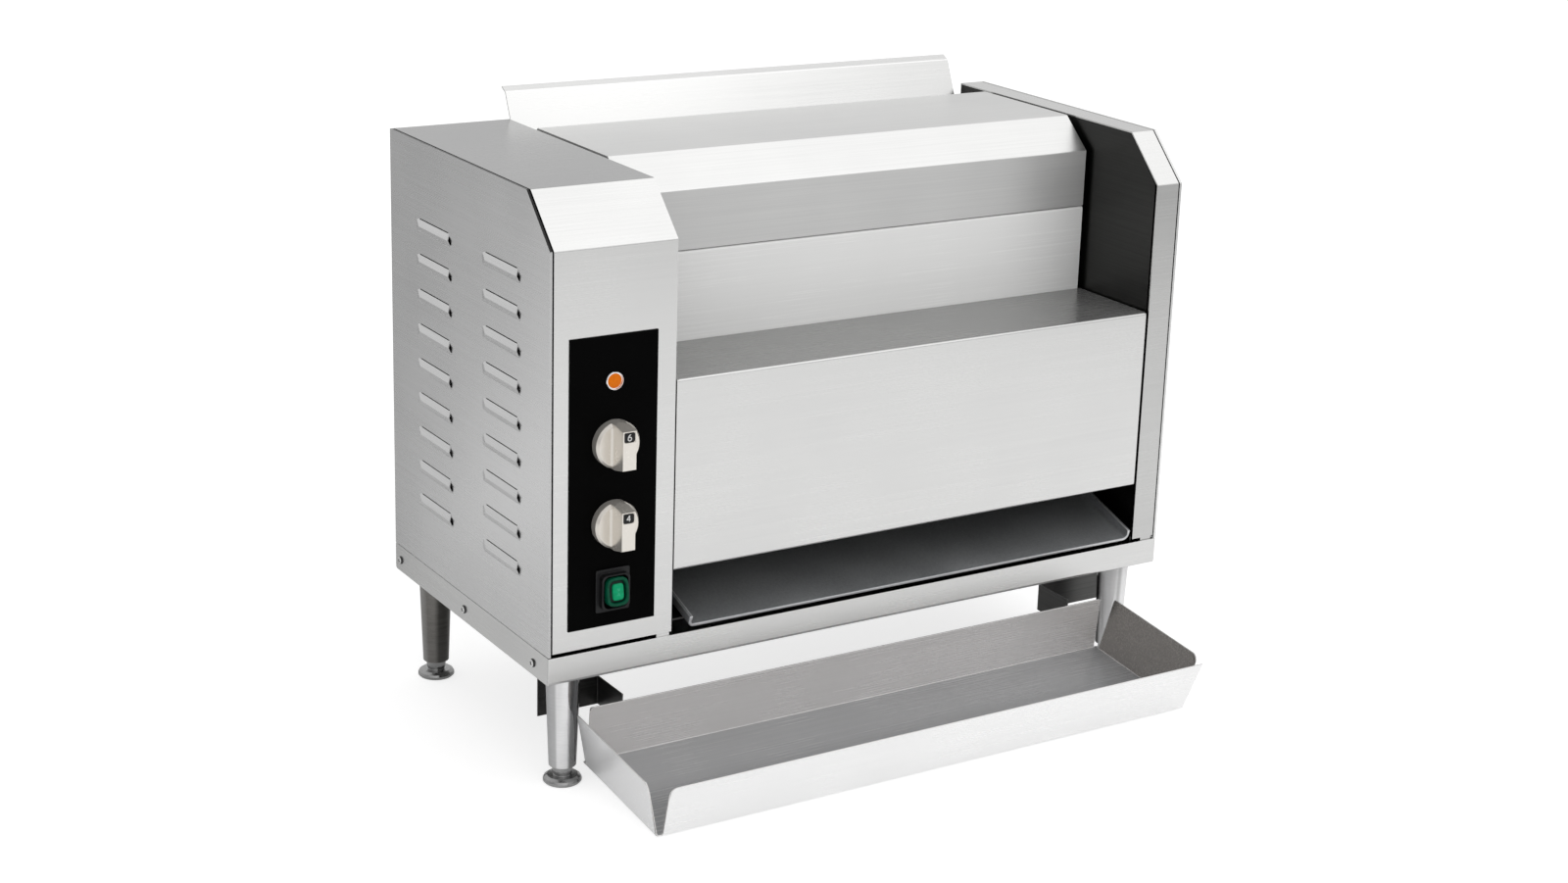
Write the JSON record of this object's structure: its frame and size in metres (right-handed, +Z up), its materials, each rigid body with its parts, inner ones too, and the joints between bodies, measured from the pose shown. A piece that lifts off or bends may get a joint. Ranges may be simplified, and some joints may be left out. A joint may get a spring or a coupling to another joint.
{
  "type": "vertical bun toaster",
  "caption": "Counter-top vertical bun toaster with a rear feed slot, belt and hot plate, louvred control housing, front discharge over a sloping catch tray, and chromed legs.",
  "frame": {"origin": "on the counter, under the centre of the outline that the body, feeder and catch tray take up", "axes": "+X to the right as seen from the front, +Y to the rear, +Z up"},
  "size_m": [0.7394, 0.5225, 0.6157],
  "materials": {
    "stainless_steel": "brushed stainless steel",
    "chromed_steel": "bright chrome",
    "zinc_steel": "plain plated steel",
    "heater_sheath": "dark metal sheath",
    "cast_aluminium": "dark non-stick coating on cast aluminium",
    "ceramic_board": "pale fibre board",
    "belt_rubber": "matt silicone",
    "roller_aluminium": "turned",
    "bushing_brass": "sintered",
    "motor_paint": "dark paint",
    "inner_plastic": "moulded",
    "black_plastic": "moulded black",
    "black_plate": "black printed plate",
    "amber_lens": "amber lens",
    "satin_nickel": "satin nickel plate",
    "green_plastic": "clear green",
    "coated_steel": "dark non-stick coating",
    "slate_coating": "slate grey coating",
    "carrier_steel": "plain stainless steel"
  },
  "bodies": {
    "chassis": {"base_pan": "stainless_steel", "leg_front_left": "chromed_steel", "leg_front_right": "chromed_steel", "leg_rear_left": "chromed_steel", "leg_rear_right": "chromed_steel", "leg_nuts": "zinc_steel", "left_side_panel": "stainless_steel", "left_fascia": "stainless_steel", "left_inner_wall": "stainless_steel", "right_fascia": "stainless_steel", "right_side_panel": "stainless_steel", "right_inner_wall": "stainless_steel", "rear_panel": "stainless_steel", "base_screws": "zinc_steel", "rear_screws": "zinc_steel", "top_cover": "stainless_steel", "cover_rails": "stainless_steel", "upper_front_panel": "stainless_steel", "front_ledges": "stainless_steel", "feeder_ledge": "stainless_steel", "hot_plate": "cast_aluminium", "heater_tubes": "heater_sheath", "heater_clamps": "stainless_steel", "insulation_board": "ceramic_board", "plate_brackets": "stainless_steel", "conveyor_belt": "belt_rubber", "belt_bed": "stainless_steel", "shaft_bushings": "bushing_brass", "gear_motor": "motor_paint", "thermostat": "inner_plastic", "speed_controller": "inner_plastic", "terminal_block": "inner_plastic", "cable_gland": "black_plastic", "control_plate": "black_plate", "indicator_bezel": "chromed_steel", "indicator_lens": "amber_lens", "rocker_frame": "black_plastic", "bun_chute": "coated_steel", "pan_runners": "stainless_steel", "tray_carrier_left": "carrier_steel", "tray_carrier_right": "carrier_steel"},
    "temperature_knob": {"temperature_knob": "satin_nickel"},
    "speed_knob": {"speed_knob": "satin_nickel"},
    "power_rocker": {"rocker_button": "green_plastic"},
    "belt_drive": {"drive_shaft": "zinc_steel", "drive_roller": "roller_aluminium", "drive_coupling": "zinc_steel"},
    "belt_idler": {"idler_shaft": "zinc_steel", "idler_roller": "roller_aluminium"},
    "lower_front_cover": {"lower_front_cover": "stainless_steel"},
    "bun_feeder": {"bun_feeder": "stainless_steel"},
    "landing_pan": {"landing_pan": "slate_coating"},
    "catch_tray": {"catch_tray": "stainless_steel"},
    "foot_front_left": {"foot_front_left": "chromed_steel"},
    "foot_front_right": {"foot_front_right": "chromed_steel"},
    "foot_rear_left": {"foot_rear_left": "chromed_steel"},
    "foot_rear_right": {"foot_rear_right": "chromed_steel"}
  },
  "joints": [
    {"name": "temperature_knob_turn", "type": "hinge", "parent": "chassis", "child": "temperature_knob", "pos_m": [-0.3007, -0.12544, 0.35], "axis": [0, 1, 0], "range_deg": [0, 300]},
    {"name": "speed_knob_turn", "type": "hinge", "parent": "chassis", "child": "speed_knob", "pos_m": [-0.3007, -0.12544, 0.271], "axis": [0, 1, 0], "range_deg": [0, 300]},
    {"name": "power_rocker_tilt", "type": "hinge", "parent": "chassis", "child": "power_rocker", "pos_m": [-0.3007, -0.12814, 0.204], "axis": [1, 0, 0], "range_deg": [0, 16]},
    {"name": "belt_drive_spin", "type": "hinge", "parent": "chassis", "child": "belt_drive", "pos_m": [0.0003, 0.13966, 0.321], "axis": [1, 0, 0], "continuous": true},
    {"name": "belt_idler_spin", "type": "hinge", "parent": "chassis", "child": "belt_idler", "pos_m": [0.0003, 0.13966, 0.536], "axis": [1, 0, 0], "continuous": true},
    {"name": "lower_cover_lift", "type": "slide", "parent": "chassis", "child": "lower_front_cover", "axis": [0, 0, 1], "range_m": [0, 0.2]},
    {"name": "feeder_lift", "type": "slide", "parent": "chassis", "child": "bun_feeder", "axis": [0, 0, 1], "range_m": [0, 0.15]},
    {"name": "landing_pan_pull", "type": "slide", "parent": "chassis", "child": "landing_pan", "axis": [0, -1, 0], "range_m": [0, 0.12]},
    {"name": "catch_tray_pull", "type": "slide", "parent": "chassis", "child": "catch_tray", "axis": [0, -1, 0], "range_m": [0, 0.22]},
    {"name": "foot_front_left_level", "type": "slide", "parent": "chassis", "child": "foot_front_left", "axis": [0, 0, -1], "range_m": [0, 0.02]},
    {"name": "foot_front_right_level", "type": "slide", "parent": "chassis", "child": "foot_front_right", "axis": [0, 0, -1], "range_m": [0, 0.02]},
    {"name": "foot_rear_left_level", "type": "slide", "parent": "chassis", "child": "foot_rear_left", "axis": [0, 0, -1], "range_m": [0, 0.02]},
    {"name": "foot_rear_right_level", "type": "slide", "parent": "chassis", "child": "foot_rear_right", "axis": [0, 0, -1], "range_m": [0, 0.02]}
  ],
  "couplings": [
    {"joint": "belt_idler_spin", "follows": "belt_drive_spin", "ratio": 1}
  ]
}
